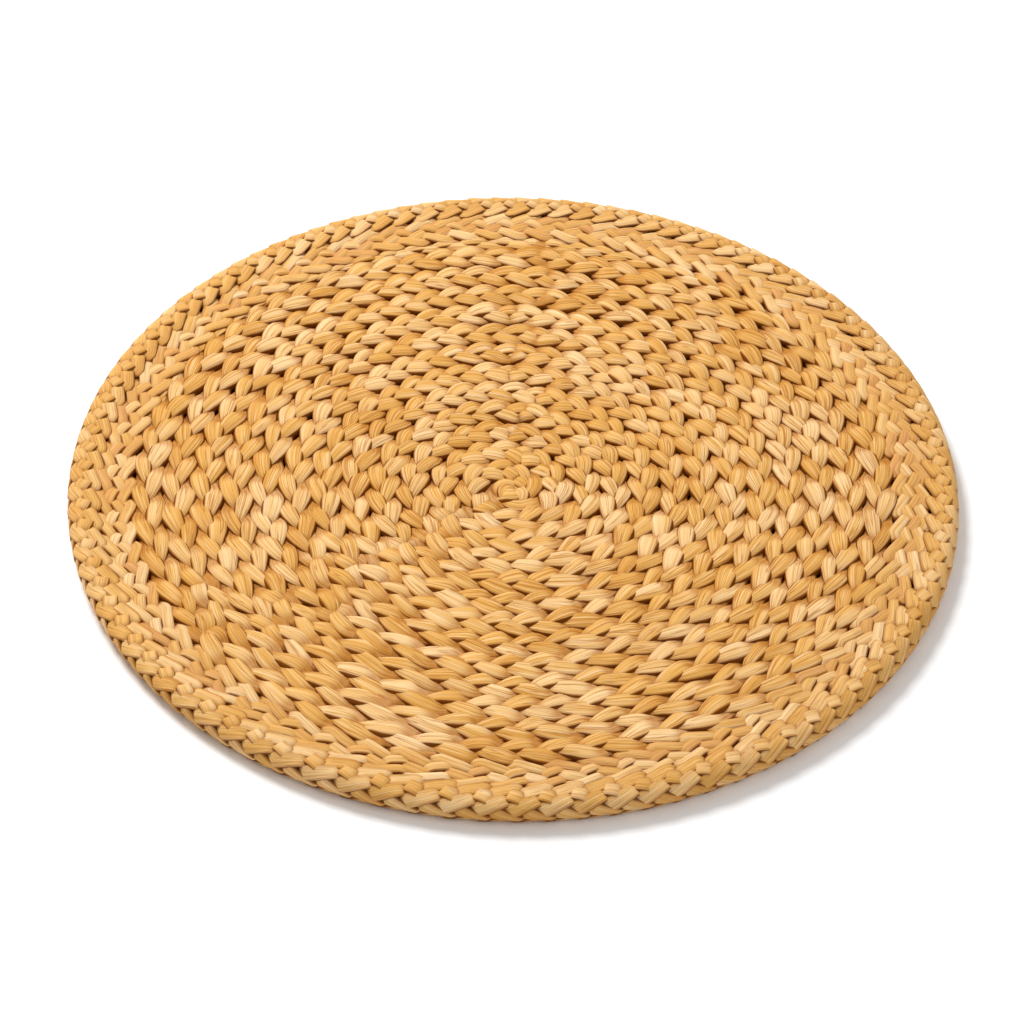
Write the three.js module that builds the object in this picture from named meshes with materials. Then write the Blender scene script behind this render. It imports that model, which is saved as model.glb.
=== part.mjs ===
// A round straw placemat: a three-strand plait coiled flat and sewn edge to edge into a field,
// a flat plait sewn round the field, and a wider plait folded over the rim.
// Millimetres, +Z up, with the origin at the middle of the underside and the front towards -Y.
import * as THREE from "three";
import { mergeVertices } from "three/addons/utils/BufferGeometryUtils.js";

// Driving dimensions
const MAT_RADIUS = 190;
const SEWN_GAP = 0.3; // between two pieces that are sewn edge to edge
const TURN_STEPS = 72; // straight sides in a full turn

// The coiled field
const FIELD_RADIUS = 162;
const FIELD_THICKNESS = 12; // to the crowns of the plait
const FIELD_ROUNDS = 13;
const ROUND_WIDTH = FIELD_RADIUS / FIELD_ROUNDS;
const CENTRE_DIP = 2.4; // depth of the hollow where the coil starts
const OUTSIDE_DROP = 2.6; // how far the coil's outside falls below its crowns
const SHOULDER = 4; // width of the slope into the centre and of the one down to the outside
const FINEST_STEP = 1.2; // points nearer than this to the centre or the outside lie on it

// One round of the coil across its width, from a sewn line over its two rows of crowns.
const ROUND_SECTION = [
  { across: 0, below: 2.6 },
  { across: 0.22, below: 0 },
  { across: 0.5, below: 0.9 },
  { across: 0.78, below: 0 },
];

// The part of a turn, counted from the front, in which a round moves out by its own width.
const RISE_START = 0.25;
const RISE_END = 0.75;

// The flat plait round the field, across its width and up from the underside
const BORDER_OUTSIDE = 176;
const BORDER_INSIDE = FIELD_RADIUS + SEWN_GAP;
const BORDER_SECTION = [
  { across: 0, height: 0 },
  { across: 1, height: 0 },
  { across: 1, height: 9.6 },
  { across: 0.86, height: 11.3 },
  { across: 0.5, height: 11.8 },
  { across: 0.14, height: 11.3 },
  { across: 0, height: 9.6 },
];

// The plait folded over the rim
const RIM_HEIGHT = 13;
const RIM_BULGE = 9; // from its crest out to the mat's outside
const RIM_ARC_STEPS = 10; // straight sides from the underside round to the crest
const EDGE_INSIDE = BORDER_OUTSIDE + SEWN_GAP;
const EDGE_CREST = MAT_RADIUS - RIM_BULGE;
// Its lip on the border, as a share of the way in from the crest and a depth below it.
const EDGE_LIP = [
  { inward: 0.6, below: 0.4 },
  { inward: 1, below: 2.4 },
];

const FIELD_STRAW = { color: 0xd8a863, roughness: 0.72, metalness: 0 };
const BORDER_STRAW = { color: 0xd6a55c, roughness: 0.7, metalness: 0 };
const EDGE_STRAW = { color: 0xe3b96c, roughness: 0.6, metalness: 0 };

// A point at a radius and a height, at a share of a turn from the front towards +X.
function pointAt(radius, height, turn) {
  const angle = turn * 2 * Math.PI;
  return [radius * Math.sin(angle), -radius * Math.cos(angle), height];
}

// How far out a round has moved, in widths of a round, at a share of a turn from the front.
function riseAt(turn) {
  return THREE.MathUtils.smoothstep(turn, RISE_START, RISE_END);
}

function snapRadius(radius) {
  if (radius < FINEST_STEP) return 0;
  if (radius > FIELD_RADIUS - FINEST_STEP) return FIELD_RADIUS;
  return radius;
}

// Height of the field's top at a radius, for a point that lies below the crowns by a given depth.
function fieldHeight(radius, below) {
  const fromCentre = THREE.MathUtils.smoothstep(radius, 0, SHOULDER);
  const fromOutside = THREE.MathUtils.smoothstep(FIELD_RADIUS - radius, 0, SHOULDER);
  const nearCentre = THREE.MathUtils.lerp(CENTRE_DIP, below, fromCentre);
  return FIELD_THICKNESS - THREE.MathUtils.lerp(OUTSIDE_DROP, nearCentre, fromOutside);
}

// A closed geometry from triangles of points, without those that shrank to a line or a point.
function closedGeometry(triangles) {
  const loose = new THREE.BufferGeometry();
  loose.setAttribute("position", new THREE.Float32BufferAttribute(triangles.flat(2), 3));
  const merged = mergeVertices(loose);
  const corners = Array.from(merged.index.array);
  const kept = [];
  for (let i = 0; i < corners.length; i += 3) {
    const [a, b, c] = corners.slice(i, i + 3);
    if (a !== b && b !== c && c !== a) kept.push(a, b, c);
  }
  merged.setIndex(kept);
  merged.computeVertexNormals();
  return merged;
}

// The field: its top follows the coil from the centre outwards, and its underside is flat.
function fieldGeometry() {
  const rows = [];
  for (let round = -1; round <= FIELD_ROUNDS; round++) {
    for (const { across, below } of ROUND_SECTION) rows.push({ start: round + across, below });
  }
  const topPoint = ({ start, below }, turn) => {
    const radius = snapRadius((start + riseAt(turn)) * ROUND_WIDTH);
    return pointAt(radius, fieldHeight(radius, below), turn);
  };
  const centre = [0, 0, 0];
  const outsideTop = FIELD_THICKNESS - OUTSIDE_DROP;
  const triangles = [];
  for (let step = 0; step < TURN_STEPS; step++) {
    const here = step / TURN_STEPS;
    const next = (step + 1) / TURN_STEPS;
    for (let row = 0; row + 1 < rows.length; row++) {
      const a = topPoint(rows[row], here);
      const b = topPoint(rows[row + 1], here);
      const c = topPoint(rows[row + 1], next);
      const d = topPoint(rows[row], next);
      triangles.push([a, b, c], [a, c, d]);
    }
    const footHere = pointAt(FIELD_RADIUS, 0, here);
    const footNext = pointAt(FIELD_RADIUS, 0, next);
    const brimHere = pointAt(FIELD_RADIUS, outsideTop, here);
    const brimNext = pointAt(FIELD_RADIUS, outsideTop, next);
    triangles.push([footHere, footNext, brimNext], [footHere, brimNext, brimHere]);
    triangles.push([centre, footNext, footHere]);
  }
  return closedGeometry(triangles);
}

// A ring with a closed section, given from the inside of the foot outwards.
function ringGeometry(section) {
  const profile = section.map(({ radius, height }) => new THREE.Vector2(radius, height));
  profile.push(profile[0].clone());
  return new THREE.LatheGeometry(profile, TURN_STEPS).rotateX(Math.PI / 2);
}

function borderSection() {
  return BORDER_SECTION.map(({ across, height }) => ({
    radius: THREE.MathUtils.lerp(BORDER_INSIDE, BORDER_OUTSIDE, across),
    height,
  }));
}

// The edge plait's section: a flat foot, a round outside up to the crest, and a lip on the border.
function edgeSection() {
  const section = [{ radius: EDGE_INSIDE, height: 0 }];
  for (let step = 0; step <= RIM_ARC_STEPS; step++) {
    const angle = (step / RIM_ARC_STEPS - 0.5) * Math.PI;
    const rise = (1 + Math.sin(angle)) / 2;
    section.push({ radius: EDGE_CREST + RIM_BULGE * Math.cos(angle), height: RIM_HEIGHT * rise });
  }
  for (const { inward, below } of EDGE_LIP) {
    const radius = THREE.MathUtils.lerp(EDGE_CREST, EDGE_INSIDE, inward);
    section.push({ radius, height: RIM_HEIGHT - below });
  }
  return section;
}

function piece(name, geometry, straw) {
  const mesh = new THREE.Mesh(geometry, new THREE.MeshStandardMaterial(straw));
  mesh.name = name;
  return mesh;
}

const placemat = new THREE.Group();
placemat.add(
  piece("field_coil", fieldGeometry(), FIELD_STRAW),
  piece("border_plait", ringGeometry(borderSection()), BORDER_STRAW),
  piece("edge_plait", ringGeometry(edgeSection()), EDGE_STRAW),
);

export default placemat;
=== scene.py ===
"""A round straw placemat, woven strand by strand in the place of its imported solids.

Three strands make the plait that is coiled into the field, five strips make the flat plait round
it, and nine straps make the plait that is folded over the rim.
"""

import math
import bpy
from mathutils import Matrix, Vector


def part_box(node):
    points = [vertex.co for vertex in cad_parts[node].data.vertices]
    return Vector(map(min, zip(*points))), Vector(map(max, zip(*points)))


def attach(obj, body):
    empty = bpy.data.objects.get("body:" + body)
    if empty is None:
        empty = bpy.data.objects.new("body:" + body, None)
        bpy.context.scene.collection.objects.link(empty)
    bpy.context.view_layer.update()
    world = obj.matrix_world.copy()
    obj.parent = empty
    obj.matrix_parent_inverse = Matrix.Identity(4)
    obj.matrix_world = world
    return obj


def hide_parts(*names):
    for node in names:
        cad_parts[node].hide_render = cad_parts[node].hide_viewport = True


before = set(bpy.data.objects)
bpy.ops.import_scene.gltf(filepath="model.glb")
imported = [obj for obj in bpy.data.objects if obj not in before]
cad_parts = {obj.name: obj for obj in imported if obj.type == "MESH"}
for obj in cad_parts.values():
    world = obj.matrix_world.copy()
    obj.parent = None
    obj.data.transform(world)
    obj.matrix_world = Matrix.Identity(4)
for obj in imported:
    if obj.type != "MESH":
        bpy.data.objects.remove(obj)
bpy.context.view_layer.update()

from types import SimpleNamespace

import bpy
from bpy.props import FloatProperty, FloatVectorProperty, IntProperty, PointerProperty
from mathutils import Quaternion, Vector

bl_info = {
    "name": "Plaited straw placemat",
    "version": (1, 0, 0),
    "blender": (4, 5, 0),
    "location": "View3D > Sidebar > Placemat",
    "description": "Plaits, coils and dresses a round straw placemat and sets its stage",
    "category": "Object",
}

MM = 0.001
FIELD_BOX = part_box("field_coil")
BORDER_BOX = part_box("border_plait")
EDGE_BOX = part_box("edge_plait")

# The part of a turn, counted from the front, in which a round moves out by its own width.
RISE_START = 0.25
RISE_END = 0.75

# The part of a turn in which the field's lobes point the other way, and how soon they change.
TURNED_START = 0.49
TURNED_END = 0.85
TURNED_BLEND = 0.006
TURNED_JITTER = 0.09  # how far these places differ from round to round

# How a strand meets the others on its way from one edge of its plait to the other: 1 is over.
THREE_PLAIT = (1, -1)
FIVE_PLAIT = (1, -1, 1, -1)
NINE_PLAIT = (1, -1, 1, 1, -1, -1, 1, -1)

# When a strand comes up and goes down, in the words of over_and_under
COIL_TIMING = {"lag": 0.5, "early": 0.08, "turn": 2.0}
RING_TIMING = {"lag": 0.0, "early": 0.0, "turn": 1.3}

# Shares of a lobe, from where its strand comes up to where it is hidden again
LOBE_SHOWS = 0.2
LOBE_BLUNT = (0.1, 0.5)  # its blunt start swells to full width
LOBE_NARROWS = 0.5
LOBE_HIDDEN = 0.92

# How far over a strand lies where something starts and where it is complete
UNTUCKED = (-0.7, 0.3)  # spreads to its full width
COIL_ROLLED = (-0.7, 0.5)  # rolls on its side, in the field
RING_ROLLED = (0.2, 1.0)  # and in the plaits round it

# What is left of a strand's width, thickness and lift where its round is squeezed to nothing
LEAST_WIDTH = 0.45
LEAST_THICKNESS = 0.75
LEAST_LIFT = 0.5

# About how many times in a metre the straw's unevenness swings
TENSION_SWINGS = 9.0
SWAY_SWINGS = 45.0
SWELL_SWINGS = 55.0
HEAVE_SWINGS = 60.0
TURNED_SWINGS = 60.0
CREASE_SWINGS = 14.0
CREASES_AROUND = 2.2

# Steps between places in the noise, so that nothing varies in time with anything else
STRAND_STEP = 7.31
CREASE_STEP = 31.0
HEAVE_STEP = (3.1, 5.7, 9.2)
SWELL_STEP = (8.4, 1.3, 2.2)

# Each lobe draws its tone from its own number, and its width from that tone
LOBE_SEED = 11
LOBE_NUMBERS = 4001.0  # more than the lobes of one strand
WIDTH_DRAW = 7.13

# How strongly each mark shows: the straw's own dark and light fibre lines, its crease lines
# darkened as painted shade in the folds, and painted shade at the lobes' ends and sides
DARK_LINES = 0.6
LIGHT_LINES = 0.7
CREASE_LINES = 0.7
SHADED_ENDS = 0.55
SHADED_SIDES = 0.4

# Where the camera aims, from the middle of the underside
AIM_BELOW = 0.9 * MM
AIM_RIGHT = -0.5 * MM

FLOOR_REACH = 6.0  # in metres, from the mat's middle

FIBRE = "fibre"  # along the strand in metres, and across and through it from -1 to 1
LOBE = "lobe"  # a tone for each lobe, how far over or under it lies, and its depth in metres


class Value:
    """A socket of a node tree. Arithmetic on it adds Math nodes to the same tree."""

    def __init__(self, graph, node, key=0):
        self.graph = graph
        self.node = node
        self.key = key

    @property
    def socket(self):
        return self.node.outputs[self.key]

    def output(self, key):
        """Another output of the same node."""
        return Value(self.graph, self.node, key)

    def math(self, operation, *others):
        sockets = dict(enumerate((self, *others)))
        return self.graph.add("ShaderNodeMath", {"operation": operation}, sockets)

    def flipped(self, operation, other):
        return self.graph.add("ShaderNodeMath", {"operation": operation}, {0: other, 1: self})

    def __add__(self, other):
        return self.math("ADD", other)

    def __sub__(self, other):
        return self.math("SUBTRACT", other)

    def __rsub__(self, other):
        return self.flipped("SUBTRACT", other)

    def __mul__(self, other):
        return self.math("MULTIPLY", other)

    def __truediv__(self, other):
        return self.math("DIVIDE", other)

    def __rtruediv__(self, other):
        return self.flipped("DIVIDE", other)

    def __pow__(self, other):
        return self.math("POWER", other)

    def __gt__(self, other):
        return self.math("GREATER_THAN", other)

    def __abs__(self):
        return self.math("ABSOLUTE")

    def __neg__(self):
        return self.math("MULTIPLY", -1.0)

    __radd__ = __add__
    __rmul__ = __mul__

    def sin(self):
        return self.math("SINE")

    def cos(self):
        return self.math("COSINE")

    def floor(self):
        return self.math("FLOOR")

    def fract(self):
        return self.math("FRACT")

    def sqrt(self):
        return self.math("SQRT")

    def sign(self):
        return self.math("SIGN")

    def at_least(self, low):
        return self.math("MAXIMUM", low)

    def at_most(self, high):
        return self.math("MINIMUM", high)

    def rise(self, low, high):
        """0 below low, 1 above high, and a smooth step between them."""
        return self.graph.add(
            "ShaderNodeMapRange", {"interpolation_type": "SMOOTHSTEP"}, {0: self, 1: low, 2: high}
        )

    def vector(self, operation, *others):
        sockets = dict(enumerate((self, *others)))
        return self.graph.add("ShaderNodeVectorMath", {"operation": operation}, sockets)

    def scaled(self, factor):
        return self.graph.add(
            "ShaderNodeVectorMath", {"operation": "SCALE"}, {0: self, "Scale": factor}
        )

    def parts(self):
        """The three parts of a vector."""
        split = self.graph.add("ShaderNodeSeparateXYZ", {}, {0: self})
        return split, split.output(1), split.output(2)


class Graph:
    """Adds nodes to one node tree."""

    def __init__(self, tree):
        self.tree = tree

    def add(self, kind, settings, sockets):
        """A node of a type, with its settings made first and then its sockets' values or links."""
        node = self.tree.nodes.new(kind)
        for name, value in settings.items():
            if name == "stops":
                set_stops(node.color_ramp, value)
            elif name == "captured":
                for item in value:
                    node.capture_items.new("VECTOR" if item.isupper() else "FLOAT", item)
            else:
                setattr(node, name, value)
        for key, value in sockets.items():
            if isinstance(value, Value):
                self.tree.links.new(value.socket, node.inputs[key])
            else:
                node.inputs[key].default_value = value
        return Value(self, node)

    def xyz(self, x, y, z):
        return self.add("ShaderNodeCombineXYZ", {}, {0: x, 1: y, 2: z})

    def noise(self, place, scale, detail=1.0):
        """Smooth noise about zero, from about -1 to 1."""
        noise = self.add(
            "ShaderNodeTexNoise", {}, {"Vector": place, "Scale": scale, "Detail": detail}
        )
        return (noise - 0.5) * 2.0


def set_stops(ramp, stops):
    """Gives a colour ramp its stops, each a position and a colour."""
    while len(ramp.elements) < len(stops):
        ramp.elements.new(1.0)
    for element, (position, colour) in zip(ramp.elements, stops):
        element.position = position
        element.color = (*colour, 1.0)


# Geometry Nodes: the strands


def sized_tree(name, sizes):
    """The graph of a new tree that gives out a mesh, and its named input for each size."""
    tree = bpy.data.node_groups.new(name, "GeometryNodeTree")
    tree.interface.new_socket("Mesh", in_out="OUTPUT", socket_type="NodeSocketGeometry")
    for size, default in sizes.items():
        whole = isinstance(default, int)
        kind = "NodeSocketInt" if whole else "NodeSocketFloat"
        socket = tree.interface.new_socket(size, in_out="INPUT", socket_type=kind)
        socket.default_value = default
    graph = Graph(tree)
    inputs = tree.nodes.new("NodeGroupInput")
    return graph, {size: Value(graph, inputs, size) for size in sizes}


def over_and_under(travel, over, lag, early, turn):
    """How far a strand lies over (1) or under (-1) the others, the number of its lobe, and how far
    along that lobe it is.

    A whole number of travel takes it from one edge of the plait to the other. It comes up late
    and goes down late, by a lag in steps from one crossing to the next, and does both a little
    early, by a share of its travel. Turn is how many steps it needs at an edge of the plait.
    """
    step = 1 / (len(over) + 1)
    progress = (travel + early).fract()
    lift = over[-1]
    starts = []
    for crossing, (before, after) in enumerate(zip((over[-1], *over), (*over, over[0]))):
        if before == after:
            continue
        # An edge of the plait lies two steps from one crossing to the next
        start = (crossing - (crossing == 0)) * step
        end = start + (turn if crossing in (0, len(over)) else 1) * step
        if after > before:
            lift = lift + (after - before) * progress.rise(start + lag * step, end)
            if start > 0:
                starts.append(start)
        else:
            lift = lift + (after - before) * progress.rise(start, end + lag * step)

    # A lobe lasts from where its strand is hidden to where it is hidden again
    since = travel - starts[0]
    ends = (*starts[1:], starts[0] + 1)
    lobes = 0.0
    for start, end in zip(starts, ends):
        passed = (since.fract() - (start - starts[0])) / (end - start)
        lobes = passed.at_least(0.0).at_most(1.0) + lobes
    return lift, since.floor() * len(starts) + lobes.floor(), lobes.fract()


def coil_path(size, share):
    """The field plait, from the centre outwards in rounds that each step out at the back."""
    graph = share.graph
    tight = 0.05  # keeps the steps short in the tight first rounds
    first = size["First Turn"]
    wound = ((share + tight * tight).sqrt() - tight) / (math.hypot(1, tight) - tight)
    turns = first + (size["Last Turn"] - first) * wound
    rounds = turns.floor() + turns.fract().rise(RISE_START, RISE_END)
    inner = ((rounds - 1.0) * size["Round Width"]).at_least(0.0)
    outer = (rounds * size["Round Width"]).at_most(size["Field Radius"])
    middle = (inner + outer) / 2.0
    # Lobes grow longer evenly from turn to turn, and again towards the front and the sides
    out = (turns - 0.5).at_least(0.0)
    inside = size["Inner Spacing"]
    growth = (size["Lobe Spacing"] - inside) / size["Last Turn"]
    ratio = inside / growth
    laid_down = out - ratio * (1.0 + out / ratio).math("LOGARITHM", math.e)
    lobes = 2 * math.pi * size["Round Width"] / growth * laid_down
    angle = turns * (2 * math.pi)
    stretch = size["Front Stretch"] * angle.sin() - size["Side Stretch"] * (angle * 2.0).sin() / 2.0
    stretch = stretch * middle / size["Lobe Spacing"]
    jitter = graph.noise(graph.xyz(middle, 0.0, 0.0), TURNED_SWINGS) * TURNED_JITTER
    about = turns.fract() + jitter
    turned = about.rise(TURNED_START - TURNED_BLEND, TURNED_START + TURNED_BLEND)
    turned = turned - about.rise(TURNED_END - TURNED_BLEND, TURNED_END + TURNED_BLEND)
    front = 1.0 + size["Front Fullness"] * angle.cos()
    return SimpleNamespace(
        angle=angle,
        middle=middle,
        fullness=(outer - inner) / size["Round Width"] * front,
        periods=(lobes - stretch) / 3.0,
        turned=turned,
        rolled=COIL_ROLLED,
        place=lambda across, lift: (middle + across, size["Mid Height"] + lift, 0.0, 1.0),
    )


def ring_periods(size, share):
    """How many periods of a plait lie between the front and a share of a turn."""
    stretch = size["Front Stretch"] * (share * (2 * math.pi)).sin() / (2 * math.pi)
    return (share - stretch) * size["Periods"]


def ring_path(size, share):
    """A flat plait that goes once round the mat."""
    middle = size["Ring Radius"]
    return SimpleNamespace(
        angle=share * (2 * math.pi),
        middle=middle,
        fullness=1.0,
        periods=ring_periods(size, share),
        turned=None,
        rolled=RING_ROLLED,
        place=lambda across, lift: (middle + across, size["Mid Height"] + lift, 0.0, 1.0),
    )


def rim_path(size, share):
    """A plait folded over the rim: flat on top, round the outside, and flat underneath."""
    middle = size["Crest Radius"]
    bend = size["Bend Radius"]

    def place(across, lift):
        along = across + size["Fold Offset"]
        turned = (along / bend).at_least(0.0).at_most(math.pi)
        on_top = (-along).at_least(0.0)
        beneath = (along - math.pi * bend).at_least(0.0)
        out = size["Inner Bend"] + lift
        radius = middle + out * turned.sin() - on_top - beneath
        height = size["Mid Height"] + out * turned.cos() - on_top * on_top * size["Lip Dip"]
        return radius, height, turned.sin(), turned.cos()

    return SimpleNamespace(
        angle=share * (2 * math.pi),
        middle=middle,
        fullness=1.0,
        periods=ring_periods(size, share),
        turned=None,
        rolled=RING_ROLLED,
        place=place,
    )


# What each point of a strand's run hands on to the section round it. Vectors are in capitals.
CARRIED = (
    "CENTRE",
    "TANGENT",
    "OUTWARD",
    "tone",
    "over",
    "raised",
    "fullness",
    "ring",
    "along",
    "roll",
    "shape",
    "swell",
    "curl",
)


def strand_tree(name, over, timing, path, closed, sizes):
    """A tree that makes one strand of a plait as a closed tube with a soft, uneven section.

    Over is how it meets the others, timing when it comes up and goes down, and path where its
    plait runs. A closed strand goes once round the mat, and an open one has two ends.
    """
    strands = len(over) + 1
    graph, size = sized_tree(name, sizes)
    index = graph.add("GeometryNodeInputIndex", {}, {})

    # Where the strand runs
    line = graph.add("GeometryNodeCurvePrimitiveLine", {}, {})
    line = graph.add("GeometryNodeResampleCurve", {}, {"Curve": line, "Count": size["Points"]})
    if closed:
        # The ends meet at the back, where the strand lies under another
        seam = (size["Seam"] * size["Flow"] / 2.0 - size["Strand"] / strands) / size["Periods"]
        share = index / size["Points"] + 0.5 + seam / (1.0 + size["Front Stretch"])
    else:
        share = index / (size["Points"] - 1.0)
    way = path(size, share)
    own_noise = size["Strand"] * STRAND_STEP
    around_mat = graph.xyz(
        way.middle * way.angle.sin(), -(way.middle * way.angle.cos()), size["Seed"]
    )
    own_place = around_mat.vector("ADD", graph.xyz(0.0, 0.0, own_noise))
    tension = graph.noise(around_mat, TENSION_SWINGS) * size["Uneven Tension"]
    phase = way.periods + tension + size["Strand"] / strands

    def laid(flow):
        """How far over the strand lies, the tone of its lobe and how wide it is there."""
        lift, lobe, done = over_and_under(phase * 2.0 * flow, over, **timing)
        lift = (lift * size["Firmness"]).at_least(-1.0).at_most(1.0)
        number = lobe + size["Strand"] * LOBE_NUMBERS
        drawn = graph.add("FunctionNodeRandomValue", {}, {"ID": number, "Seed": LOBE_SEED})
        tone = drawn.output(1)
        gone = done.rise(LOBE_HIDDEN, 1.0)
        narrow = done.rise(LOBE_NARROWS, LOBE_HIDDEN) * (1.0 - gone)
        hidden = gone + 1.0 - done.rise(0.0, LOBE_SHOWS)
        blunt = 1.0 - done.rise(*LOBE_BLUNT)
        under = 1.0 - lift.rise(*UNTUCKED)
        shape = 1.0 - narrow * size["Taper"] - blunt * size["Bluntness"] + hidden * size["Spread"]
        varied = ((tone * WIDTH_DRAW).fract() - 0.5) * (1.0 - hidden) * size["Variety"]
        return lift, tone, shape + varied - under * size["Tuck"]

    lift, tone, shape = laid(size["Flow"])
    rolled = (phase * (2 * math.pi)).sin() * size["Roll"]
    if way.turned is not None:
        others = laid(-size["Flow"])
        lift, tone, shape = (
            one + (other - one) * way.turned for one, other in zip((lift, tone, shape), others)
        )
        rolled = rolled * (1.0 - 2.0 * way.turned)
    rolled = rolled * lift.rise(*way.rolled)
    sway = graph.noise(own_place, SWAY_SWINGS)
    heave = graph.noise(own_place.vector("ADD", HEAVE_STEP), HEAVE_SWINGS)
    curved = -((phase * (2 * math.pi)).cos())
    straight = 1.0 - 4.0 * abs(phase.fract() - 0.5)
    side = curved + (straight - curved) * size["Straightness"]
    across = side * size["Sway"] * way.fullness + sway * size["Wander"]
    lifted = LEAST_LIFT + (1.0 - LEAST_LIFT) * way.fullness
    raised = lift * size["Lift"] * lifted + heave * size["Wander"]
    radius, height, lean, upright = way.place(across, raised)
    out_x = way.angle.sin()
    out_y = -(way.angle.cos())
    centre = graph.xyz(radius * out_x, radius * out_y, height)
    line = graph.add("GeometryNodeSetPosition", {}, {"Geometry": line, "Position": centre})
    if closed:
        line = graph.add("GeometryNodeSetSplineCyclic", {}, {"Geometry": line, "Cyclic": True})
    carried = graph.add(
        "GeometryNodeCaptureAttribute",
        {"captured": CARRIED},
        {
            "Geometry": line,
            "CENTRE": graph.add("GeometryNodeInputPosition", {}, {}),
            "TANGENT": graph.add("GeometryNodeInputTangent", {}, {}),
            "OUTWARD": graph.xyz(out_x * lean, out_y * lean, upright),
            "tone": tone,
            "over": lift,
            "raised": raised,
            "fullness": way.fullness,
            "ring": index,
            "along": graph.add("GeometryNodeSplineParameter", {}, {}).output("Length"),
            "roll": rolled,
            "shape": shape,
            "swell": graph.noise(own_place.vector("ADD", SWELL_STEP), SWELL_SWINGS),
            "curl": size["Curl"] * lean,
        },
    )

    # The section round it
    ring = graph.add("GeometryNodeCurvePrimitiveCircle", {}, {"Resolution": size["Sides"]})
    ring = graph.add(
        "GeometryNodeCaptureAttribute", {"captured": ("step",)}, {"Geometry": ring, "step": index}
    )
    mesh = graph.add(
        "GeometryNodeCurveToMesh",
        {},
        {"Curve": carried, "Profile Curve": ring, "Fill Caps": not closed},
    )
    step = ring.output("step")
    turn = step * (2 * math.pi) / size["Sides"]
    forward = carried.output("TANGENT")
    outward = carried.output("OUTWARD")
    level = outward.vector("CROSS_PRODUCT", forward).vector("NORMALIZE")
    normal = forward.vector("CROSS_PRODUCT", level)
    roll = carried.output("roll")
    wide = level.scaled(roll.cos()).vector("ADD", normal.scaled(roll.sin()))
    thick = normal.scaled(roll.cos()).vector("ADD", level.scaled(-roll.sin()))
    over_now = carried.output("over")
    along = carried.output("along")
    round_x = turn.cos()
    round_y = turn.sin()
    squared = size["Squareness"]
    shape_x = round_x.sign() * abs(round_x) ** squared
    shape_y = round_y.sign() * abs(round_y) ** squared
    crease_place = graph.xyz(
        along * CREASE_SWINGS + size["Strand"] * CREASE_STEP,
        round_x * CREASES_AROUND,
        round_y * CREASES_AROUND,
    )
    crease = 1.0 + graph.noise(crease_place, 1.0, 2.0) * size["Crease"]
    fullness = carried.output("fullness")
    uneven = (1.0 + carried.output("swell") * size["Swell"]) * crease
    widened = LEAST_WIDTH + (1.0 - LEAST_WIDTH) * fullness
    thickened = LEAST_THICKNESS + (1.0 - LEAST_THICKNESS) * fullness
    width = size["Strand Width"] * 0.5 * uneven * widened * carried.output("shape")
    depth = size["Strand Thickness"] * 0.5 * uneven * thickened
    sideways = shape_x * width
    upwards = shape_y * depth - sideways * sideways * carried.output("curl")
    offset = wide.scaled(sideways).vector("ADD", thick.scaled(upwards))
    surface = carried.output("CENTRE").vector("ADD", offset)
    outness = offset.vector("DOT_PRODUCT", outward).output("Value") + carried.output("raised")
    # How deep a point lies below the crowns: the straw paints its shade in the outlines and gaps
    # from this
    sunk = size["Lift"] + size["Strand Thickness"] * 0.5 - abs(outness)
    lobe_look = graph.xyz(carried.output("tone"), over_now, sunk)
    x, y, z = surface.parts()
    surface = graph.xyz(x, y, z.at_least(0.0))
    mesh = graph.add("GeometryNodeSetPosition", {}, {"Geometry": mesh, "Position": surface})

    # What the straw's look reads, and a map that lays the strand out in rows
    fibre = graph.xyz(along, shape_x, shape_y)
    for attribute, value in ((FIBRE, fibre), (LOBE, lobe_look)):
        mesh = graph.add(
            "GeometryNodeStoreNamedAttribute",
            {"data_type": "FLOAT_VECTOR", "domain": "POINT"},
            {"Geometry": mesh, "Name": attribute, "Value": value},
        )
    mesh = strand_map(graph, mesh, size, carried.output("ring"), step)
    mesh = graph.add("GeometryNodeRealizeInstances", {}, {"Geometry": mesh})
    mesh = graph.add("GeometryNodeSetMaterial", {}, {"Geometry": mesh})
    mesh.node.name = "straw"
    result = graph.tree.nodes.new("NodeGroupOutput")
    graph.tree.links.new(mesh.socket, result.inputs[0])
    return graph.tree


def strand_map(graph, mesh, size, ring, step):
    """Stores a UV map in which the strand is cut into rows of equal length."""

    def unwrapped(count, total):
        face = graph.add(
            "GeometryNodeFieldOnDomain", {"domain": "FACE", "data_type": "FLOAT"}, {"Value": count}
        )
        return count + total * (face - count > 1.0), face

    along, face = unwrapped(ring, size["Points"])
    around, _ = unwrapped(step, size["Sides"])
    per_row = size["Points"] / size["Map Rows"]
    row = ((face - 0.5) / per_row).floor()
    place = graph.xyz(along / per_row - row, (row + around / size["Sides"]) / size["Map Rows"], 0.0)
    return graph.add(
        "GeometryNodeStoreNamedAttribute",
        {"data_type": "FLOAT2", "domain": "CORNER"},
        {"Geometry": mesh, "Name": "OFBake", "Value": place},
    )


def woven(name, tree, material, sizes):
    """The mesh that a tree makes from these sizes, as a piece at the origin."""
    tree.nodes["straw"].inputs["Material"].default_value = material
    piece = bpy.data.objects.new(name, bpy.data.meshes.new(name))
    bpy.context.scene.collection.objects.link(piece)
    modifier = piece.modifiers.new("weave", "NODES")
    modifier.node_group = tree
    for socket in tree.interface.items_tree:
        if socket.in_out == "INPUT" and socket.name in sizes:
            modifier[socket.identifier] = sizes[socket.name]
    depsgraph = bpy.context.evaluated_depsgraph_get()
    made = bpy.data.meshes.new_from_object(piece.evaluated_get(depsgraph), depsgraph=depsgraph)
    piece.modifiers.remove(modifier)
    piece.data = made
    made.name = name
    made.shade_smooth()
    if not made.vertices:
        raise RuntimeError(f"{name} came out empty")
    return piece


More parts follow.
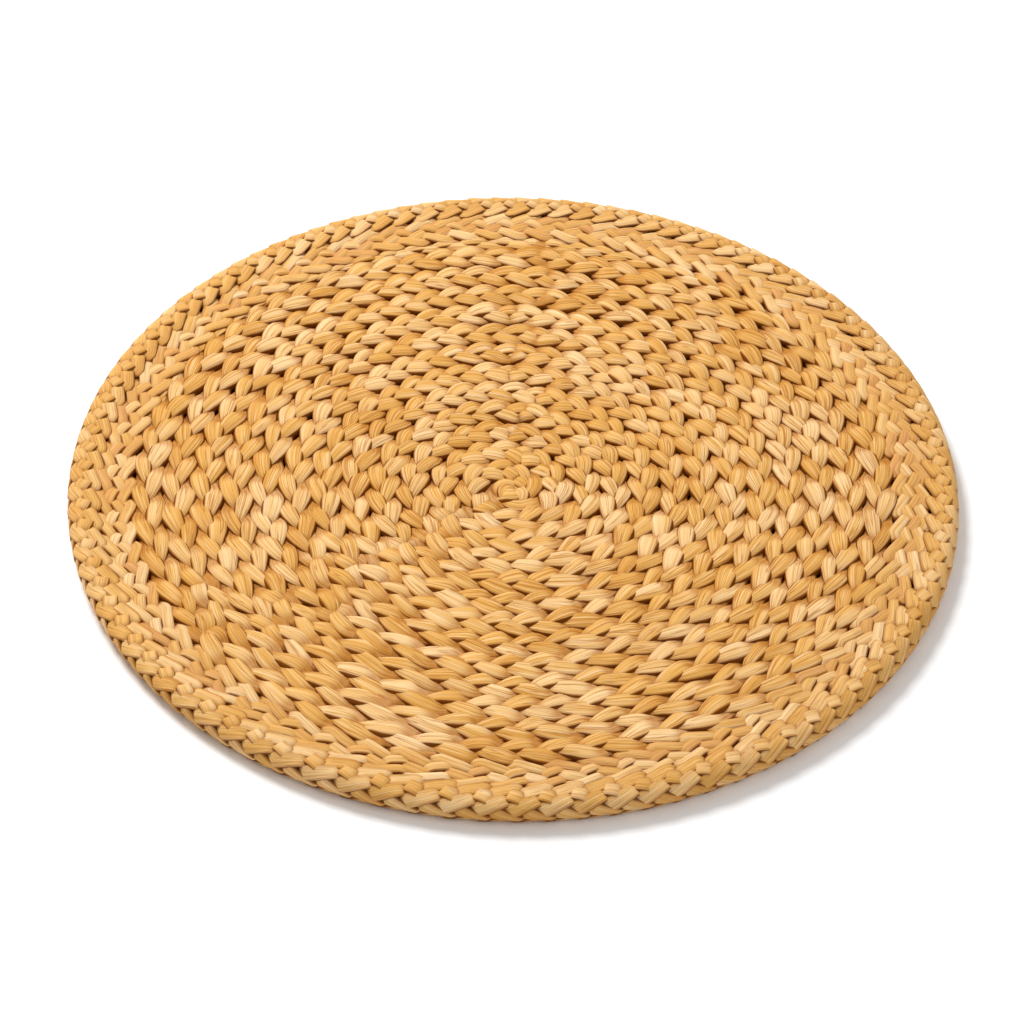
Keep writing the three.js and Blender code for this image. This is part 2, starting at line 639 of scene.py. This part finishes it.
def plait(name, tree, material, node, strands, sizes):
    """Makes each strand of a plait, in the place of its CAD node."""
    for strand in range(strands):
        piece = woven(f"{name}_{strand + 1}", tree, material, {**sizes, "Strand": strand})
        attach(piece, "root")
        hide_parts(node)


# Straw


def mixed(graph, factor, first, second):
    """A mix of two colours, each a link or a plain colour."""
    return graph.add(
        "ShaderNodeMix",
        {"data_type": "RGBA"},
        {"Factor": factor, 6: opaque(first), 7: opaque(second)},
    ).output(2)


def opaque(colour):
    return colour if isinstance(colour, Value) else (*colour, 1.0)


def straw_material(name, straw, darker, variety, grain, rough, shine, brim, edges, deep, tips):
    """Dried straw: a tone for each lobe, fibres along the strand, and painted shade at the lobes'
    ends and sides, in their creases, round their outlines and in the gaps.

    Darker is the colour of its darker lobes, variety how far lobes differ, grain the strength of
    its fibres and creases, brim that of its painted dark outlines, and deep the depth in metres at
    which the painted shade in the gaps turns near black. Edges are where across the strand its
    painted outline starts and is full. Tips are how far over the strand lies where the painted
    shade at a lobe's tip is darkest and where that ends. Rough and shine are its mean roughness
    and its specular level.
    """
    material = bpy.data.materials.new(name)
    material.use_nodes = True
    material.node_tree.nodes.clear()
    graph = Graph(material.node_tree)
    fibre = graph.add("ShaderNodeAttribute", {"attribute_name": FIBRE}, {}).output("Vector")
    lobe = graph.add("ShaderNodeAttribute", {"attribute_name": LOBE}, {}).output("Vector")
    along, across, through = fibre.parts()
    tone, over, sunk = lobe.parts()

    def fibres(length, fineness, detail, shift=0.0):
        """Streaks along the strand, from about -1 to 1."""
        place = graph.xyz(along / length + shift, across * fineness, through * fineness)
        return graph.noise(place, 1.0, detail)

    broad = fibres(length=30 * MM, fineness=1.4, detail=2.0)
    fine = fibres(length=22 * MM, fineness=8.5, detail=3.0, shift=40.0)
    hair = fibres(length=14 * MM, fineness=13.0, detail=2.0, shift=80.0)
    creases = fibres(length=45 * MM, fineness=2.0, detail=1.0, shift=120.0)
    colour = graph.add(
        "ShaderNodeValToRGB",
        {"stops": ((0.0, darker), (0.45, straw.golden), (1.0, straw.pale))},
        {"Fac": 0.5 + (tone - 0.5) * variety + broad * 0.4},
    )
    dark_lines = (fine * 0.7 + hair * 0.3).rise(0.05, 0.35)
    colour = mixed(graph, dark_lines * (DARK_LINES * grain), colour, straw.rust_and_shade)
    light_lines = (-(fine * 0.5 + hair * 0.5)).rise(0.0, 0.3)
    colour = mixed(graph, light_lines * (LIGHT_LINES * grain), colour, straw.pale)
    # Painted shade in the folds: each bumped crease is also darkened
    crease_line = 1.0 - abs(creases).rise(0.0, 0.06)
    colour = mixed(graph, crease_line * (CREASE_LINES * grain), colour, straw.rust_and_shade)
    # Painted shade: reddish brown where the strand dives under the others, at each lobe's ends
    ends = 1.0 - over.rise(-0.3, 0.95)
    colour = mixed(graph, ends * SHADED_ENDS, colour, straw.rust_and_shade)
    # Painted shade on the strand's rounded sides
    sides = abs(across)
    colour = mixed(graph, sides.rise(0.5, 0.9) * SHADED_SIDES, colour, straw.rust_and_shade)
    # Painted shade: a dark outline along the strand's edges, at each lobe's tip where it dives
    # under, and wherever it lies sunk between the others, standing in for contact shadow
    outline = sides.rise(*edges).at_least(1.0 - over.rise(*tips))
    outline = outline.at_least(sunk.rise(deep * 0.35, deep * 0.65))
    colour = mixed(graph, outline * brim, colour, straw.umber)
    # Painted shade, near black, where the straw lies deepest between the others
    colour = mixed(graph, sunk.rise(deep * 0.6, deep), colour, straw.gap)
    height = fine * 0.5 + hair * 0.3 - crease_line * 0.7
    bump = graph.add(
        "ShaderNodeBump", {}, {"Strength": 0.6, "Distance": 0.4 * MM, "Height": height}
    )
    shader = graph.add(
        "ShaderNodeBsdfPrincipled",
        {},
        {
            "Base Color": colour,
            "Roughness": rough + 0.12 * fine,
            "Normal": bump,
            "Specular IOR Level": shine,
        },
    )
    graph.add("ShaderNodeOutputMaterial", {}, {"Surface": shader})
    return material


# Sizes and colours that a user would change


class FieldPlait(bpy.types.PropertyGroup):
    """The plait that is coiled into the field."""

    radius: FloatProperty(
        name="Radius", description="Outside of the coil", default=FIELD_BOX[1].x, unit="LENGTH"
    )
    thickness: FloatProperty(
        name="Thickness", description="Over the crowns", default=FIELD_BOX[1].z, unit="LENGTH"
    )
    rounds: IntProperty(name="Rounds", description="Rounds of the coil", default=13)
    lobe_spacing: FloatProperty(
        name="Lobe spacing", description="Between lobes in a row", default=16.2 * MM, unit="LENGTH"
    )
    strand_width: FloatProperty(
        name="Strand width", description="Across one strand", default=9.0 * MM, unit="LENGTH"
    )


class BorderPlait(bpy.types.PropertyGroup):
    """The flat plait round the field."""

    outside: FloatProperty(
        name="Outside", description="Outside radius", default=BORDER_BOX[1].x, unit="LENGTH"
    )
    thickness: FloatProperty(
        name="Thickness", description="Over the crowns", default=BORDER_BOX[1].z, unit="LENGTH"
    )
    periods: IntProperty(
        name="Periods", description="Times each strip crosses and returns", default=16
    )
    strand_width: FloatProperty(
        name="Strip width", description="Across one strip", default=6.2 * MM, unit="LENGTH"
    )


class EdgePlait(bpy.types.PropertyGroup):
    """The plait folded over the rim."""

    outside: FloatProperty(
        name="Outside", description="Outside radius", default=EDGE_BOX[1].x, unit="LENGTH"
    )
    thickness: FloatProperty(
        name="Thickness", description="Height of the rim", default=EDGE_BOX[1].z, unit="LENGTH"
    )
    periods: IntProperty(
        name="Periods", description="Times each strap crosses and returns", default=11
    )
    strand_width: FloatProperty(
        name="Strap width", description="Across one strap", default=6.8 * MM, unit="LENGTH"
    )
    strand_thickness: FloatProperty(
        name="Strap thickness", description="Through one strap", default=1.6 * MM, unit="LENGTH"
    )


class StrawColours(bpy.types.PropertyGroup):
    """The colours of the straw, and of the shade painted on it."""

    pale: FloatVectorProperty(
        name="Pale", description="Bleached straw", subtype="COLOR", default=(0.9, 0.66, 0.38)
    )
    golden: FloatVectorProperty(
        name="Golden", description="Most of the straw", subtype="COLOR", default=(0.68, 0.36, 0.09)
    )
    amber: FloatVectorProperty(
        name="Amber", description="Darker straw", subtype="COLOR", default=(0.55, 0.24, 0.045)
    )
    blush: FloatVectorProperty(
        name="Blush", description="Pinkish straw", subtype="COLOR", default=(0.58, 0.25, 0.095)
    )
    # Reddish brown for the straw's dark fibre lines, and for the painted shade at the lobes' ends,
    # sides and creases
    rust_and_shade: FloatVectorProperty(
        name="Rust", description="Stained ends", subtype="COLOR", default=(0.37, 0.11, 0.008)
    )
    # Painted shade along the outlines of the strands
    umber: FloatVectorProperty(
        name="Umber",
        description="Brims of the strands",
        subtype="COLOR",
        default=(0.18, 0.044, 0.002),
    )
    # Painted shade deep in the gaps between strands
    gap: FloatVectorProperty(
        name="Gap",
        description="Straw deep in the gaps",
        subtype="COLOR",
        default=(0.035, 0.007, 0.001),
    )


class StageSettings(bpy.types.PropertyGroup):
    """The floor, the lamps and the camera."""

    floor: FloatVectorProperty(
        name="Floor", description="Colour of the floor", subtype="COLOR", default=(0.93, 0.93, 0.93)
    )
    distance: FloatProperty(
        name="Camera distance", description="From the mat's middle", default=3.8, unit="LENGTH"
    )
    elevation: FloatProperty(
        name="Camera elevation",
        description="Above the floor",
        default=math.radians(43.65),
        subtype="ANGLE",
    )
    roll: FloatProperty(
        name="Camera roll",
        description="About its line of sight",
        default=math.radians(1.05),
        subtype="ANGLE",
    )
    lens: FloatProperty(name="Lens", description="Focal length in millimetres", default=313.0)


class PlacematSettings(bpy.types.PropertyGroup):
    """Everything that the operators read."""

    field: PointerProperty(type=FieldPlait)
    border: PointerProperty(type=BorderPlait)
    edge: PointerProperty(type=EdgePlait)
    straw: PointerProperty(type=StrawColours)
    stage: PointerProperty(type=StageSettings)


# One step for each plait, and one for the stage


class PLACEMAT_OT_field_coil(bpy.types.Operator):
    """Plaits three strands and coils them into the field"""

    bl_idname = "placemat.field_coil"
    bl_label = "Field coil"

    def execute(self, context):
        mat = context.scene.placemat
        round_width = mat.field.radius / mat.field.rounds
        sizes = {
            "Strand": 0,
            "Points": 4000,
            "Sides": 20,
            "Map Rows": 17,
            "Seed": 0.0,
            "Flow": -1.0,
            "First Turn": 0.42,
            "Last Turn": mat.field.rounds + 0.72,
            "Round Width": round_width,
            "Field Radius": mat.field.radius,
            "Mid Height": mat.field.thickness / 2,
            "Lobe Spacing": mat.field.lobe_spacing,
            "Inner Spacing": mat.field.lobe_spacing * 0.68,
            "Front Stretch": 0.23,
            "Side Stretch": 0.07,
            "Front Fullness": 0.1,
            "Uneven Tension": 0.3,
            "Sway": 3.95 * MM,
            "Lift": mat.field.thickness * 0.08,
            "Wander": 0.7 * MM,
            "Straightness": 0.75,
            "Roll": 0.155,
            "Strand Width": mat.field.strand_width,
            "Strand Thickness": mat.field.thickness * 0.86,
            "Squareness": 0.42,
            "Taper": 0.44,
            "Spread": 0.1,
            "Bluntness": 0.2,
            "Tuck": 0.0,
            "Curl": 0.0,
            "Firmness": 1.25,
            "Variety": 0.26,
            "Swell": 0.2,
            "Crease": 0.04,
        }
        tree = strand_tree("Field strand", THREE_PLAIT, COIL_TIMING, coil_path, False, sizes)
        material = straw_material(
            "field straw",
            mat.straw,
            darker=mat.straw.amber,
            variety=0.4,
            grain=0.8,
            rough=0.6,
            shine=0.02,
            brim=0.96,
            edges=(0.73, 0.87),
            deep=4.8 * MM,
            tips=(-1.3, -0.7),
        )
        plait("field_strand", tree, material, "field_coil", 3, sizes)
        return {"FINISHED"}


class PLACEMAT_OT_border_plait(bpy.types.Operator):
    """Plaits five flat strips round the field"""

    bl_idname = "placemat.border_plait"
    bl_label = "Border plait"

    def execute(self, context):
        mat = context.scene.placemat
        sizes = {
            "Strand": 0,
            "Points": 968,
            "Sides": 14,
            "Map Rows": 9,
            "Seed": 4.0,
            "Flow": 1.0,
            "Periods": mat.border.periods,
            "Seam": 0.4,
            "Front Stretch": 0.17,
            "Ring Radius": (mat.field.radius + mat.border.outside) / 2 + 0.8 * MM,
            "Mid Height": mat.border.thickness / 2 - 0.2 * MM,
            "Uneven Tension": 0.15,
            "Sway": 6.8 * MM,
            "Lift": 0.8 * MM,
            "Wander": 0.3 * MM,
            "Straightness": 0.9,
            "Roll": 0.15,
            "Strand Width": mat.border.strand_width,
            "Strand Thickness": mat.border.thickness - 1.8 * MM,
            "Squareness": 0.45,
            "Taper": 0.1,
            "Spread": 0.0,
            "Bluntness": 0.0,
            "Tuck": 0.15,
            "Curl": 0.0,
            "Firmness": 1.3,
            "Variety": 0.1,
            "Swell": 0.1,
            "Crease": 0.05,
        }
        tree = strand_tree("Border strip", FIVE_PLAIT, RING_TIMING, ring_path, True, sizes)
        material = straw_material(
            "border straw",
            mat.straw,
            darker=mat.straw.blush,
            variety=0.5,
            grain=0.4,
            rough=0.58,
            shine=0.1,
            brim=1.0,
            edges=(0.76, 0.9),
            deep=2.2 * MM,
            tips=(-0.1, 0.12),
        )
        plait("border_strip", tree, material, "border_plait", 5, sizes)
        return {"FINISHED"}


class PLACEMAT_OT_edge_plait(bpy.types.Operator):
    """Plaits nine straps and folds them over the rim"""

    bl_idname = "placemat.edge_plait"
    bl_label = "Edge plait"

    def execute(self, context):
        mat = context.scene.placemat
        half = mat.edge.thickness / 2
        sizes = {
            "Strand": 0,
            "Points": 1088,
            "Sides": 16,
            "Map Rows": 9,
            "Seed": 9.0,
            "Flow": -1.0,
            "Periods": mat.edge.periods,
            "Seam": 0.61,
            "Front Stretch": 0.17,
            "Crest Radius": mat.edge.outside - half,
            "Bend Radius": half * 0.9,
            "Inner Bend": half - mat.edge.strand_thickness - 0.4 * MM,
            "Fold Offset": 7.4 * MM,
            "Lip Dip": 32.0,
            "Mid Height": half,
            "Uneven Tension": 0.1,
            "Sway": 12.5 * MM,
            "Lift": mat.edge.strand_thickness * 0.65,
            "Wander": 0.15 * MM,
            "Straightness": 0.8,
            "Roll": 0.13,
            "Strand Width": mat.edge.strand_width,
            "Strand Thickness": mat.edge.strand_thickness,
            "Squareness": 0.55,
            "Taper": 0.0,
            "Spread": 0.0,
            "Bluntness": 0.0,
            "Tuck": 0.35,
            "Curl": 0.5 / half,
            "Firmness": 1.6,
            "Variety": 0.0,
            "Swell": 0.08,
            "Crease": 0.06,
        }
        tree = strand_tree("Edge strap", NINE_PLAIT, RING_TIMING, rim_path, True, sizes)
        material = straw_material(
            "edge straw",
            mat.straw,
            darker=mat.straw.amber,
            variety=0.4,
            grain=0.5,
            rough=0.5,
            shine=0.08,
            brim=0.7,
            edges=(0.88, 0.97),
            deep=2.4 * MM,
            tips=(-0.1, 0.12),
        )
        plait("edge_strap", tree, material, "edge_plait", 9, sizes)
        return {"FINISHED"}


class PLACEMAT_OT_stage(bpy.types.Operator):
    """Sets the floor, the lamps and the camera"""

    bl_idname = "placemat.stage"
    bl_label = "Stage"

    def execute(self, context):
        scene = context.scene
        settings = scene.placemat.stage
        scene.view_settings.view_transform = "Standard"
        self.lay_floor(scene, settings)
        self.light_world(scene)
        self.add_lamp(scene, "key lamp", place=(-0.9, 1.1, 1.7), size=1.0, power=50.0)
        self.add_lamp(scene, "fill lamp", place=(1.2, -1.2, 1.8), size=1.8, power=10.0)
        self.add_camera(scene, settings)
        return {"FINISHED"}

    def lay_floor(self, scene, settings):
        far = FLOOR_REACH
        mesh = bpy.data.meshes.new("floor")
        corners = [(-far, -far, 0), (far, -far, 0), (far, far, 0), (-far, far, 0)]
        mesh.from_pydata(corners, [], [(0, 1, 2, 3)])
        floor = bpy.data.objects.new("floor", mesh)
        scene.collection.objects.link(floor)
        paint = bpy.data.materials.new("pale floor")
        paint.use_nodes = True
        paint.node_tree.nodes.clear()
        graph = Graph(paint.node_tree)
        shader = graph.add(
            "ShaderNodeBsdfPrincipled",
            {},
            {"Base Color": (*settings.floor, 1.0), "Roughness": 0.9, "Specular IOR Level": 0.1},
        )
        graph.add("ShaderNodeOutputMaterial", {}, {"Surface": shader})
        mesh.materials.append(paint)

    def light_world(self, scene):
        world = bpy.data.worlds.new("soft white room")
        world.use_nodes = True
        backdrop = world.node_tree.nodes["Background"]
        backdrop.inputs["Color"].default_value = (1.0, 1.0, 1.0, 1.0)
        backdrop.inputs["Strength"].default_value = 0.52
        scene.world = world

    def add_lamp(self, scene, name, place, size, power):
        lamp = bpy.data.lights.new(name, "AREA")
        lamp.shape = "DISK"
        lamp.size = size
        lamp.energy = power
        holder = bpy.data.objects.new(name, lamp)
        holder.location = place
        holder.rotation_euler = (-Vector(place)).to_track_quat("-Z", "Y").to_euler()
        scene.collection.objects.link(holder)

    def add_camera(self, scene, settings):
        data = bpy.data.cameras.new("photo camera")
        data.lens = settings.lens
        data.sensor_width = 36.0
        data.clip_end = 50.0
        camera = bpy.data.objects.new("photo camera", data)
        up = settings.elevation
        toward = Vector((0.0, -math.cos(up), math.sin(up)))
        below = Vector((0.0, -math.sin(up), -math.cos(up)))
        aim = below * AIM_BELOW + Vector((AIM_RIGHT, 0.0, 0.0))
        camera.location = aim + toward * settings.distance
        level = Quaternion((1.0, 0.0, 0.0), math.pi / 2 - up)
        tilted = level @ Quaternion((0.0, 0.0, 1.0), settings.roll)
        camera.rotation_euler = tilted.to_euler()
        scene.collection.objects.link(camera)
        scene.camera = camera


class PLACEMAT_PT_sidebar(bpy.types.Panel):
    """Lists the placemat's sizes, colours and steps"""

    bl_label = "Placemat"
    bl_space_type = "VIEW_3D"
    bl_region_type = "UI"
    bl_category = "Placemat"

    def draw(self, context):
        for group in ("field", "border", "edge", "straw", "stage"):
            box = self.layout.box()
            settings = getattr(context.scene.placemat, group)
            for name in settings.__annotations__:
                box.prop(settings, name)
        for operator in OPERATORS:
            self.layout.operator(operator.bl_idname)


OPERATORS = (
    PLACEMAT_OT_stage,
    PLACEMAT_OT_field_coil,
    PLACEMAT_OT_border_plait,
    PLACEMAT_OT_edge_plait,
)
CLASSES = (
    FieldPlait,
    BorderPlait,
    EdgePlait,
    StrawColours,
    StageSettings,
    PlacematSettings,
    *OPERATORS,
    PLACEMAT_PT_sidebar,
)


def register():
    for made in CLASSES:
        bpy.utils.register_class(made)
    bpy.types.Scene.placemat = PointerProperty(type=PlacematSettings)


def unregister():
    del bpy.types.Scene.placemat
    for made in reversed(CLASSES):
        bpy.utils.unregister_class(made)


def main():
    register()
    bpy.ops.placemat.stage()
    bpy.ops.placemat.field_coil()
    bpy.ops.placemat.border_plait()
    bpy.ops.placemat.edge_plait()


if __name__ == "__main__":
    main()
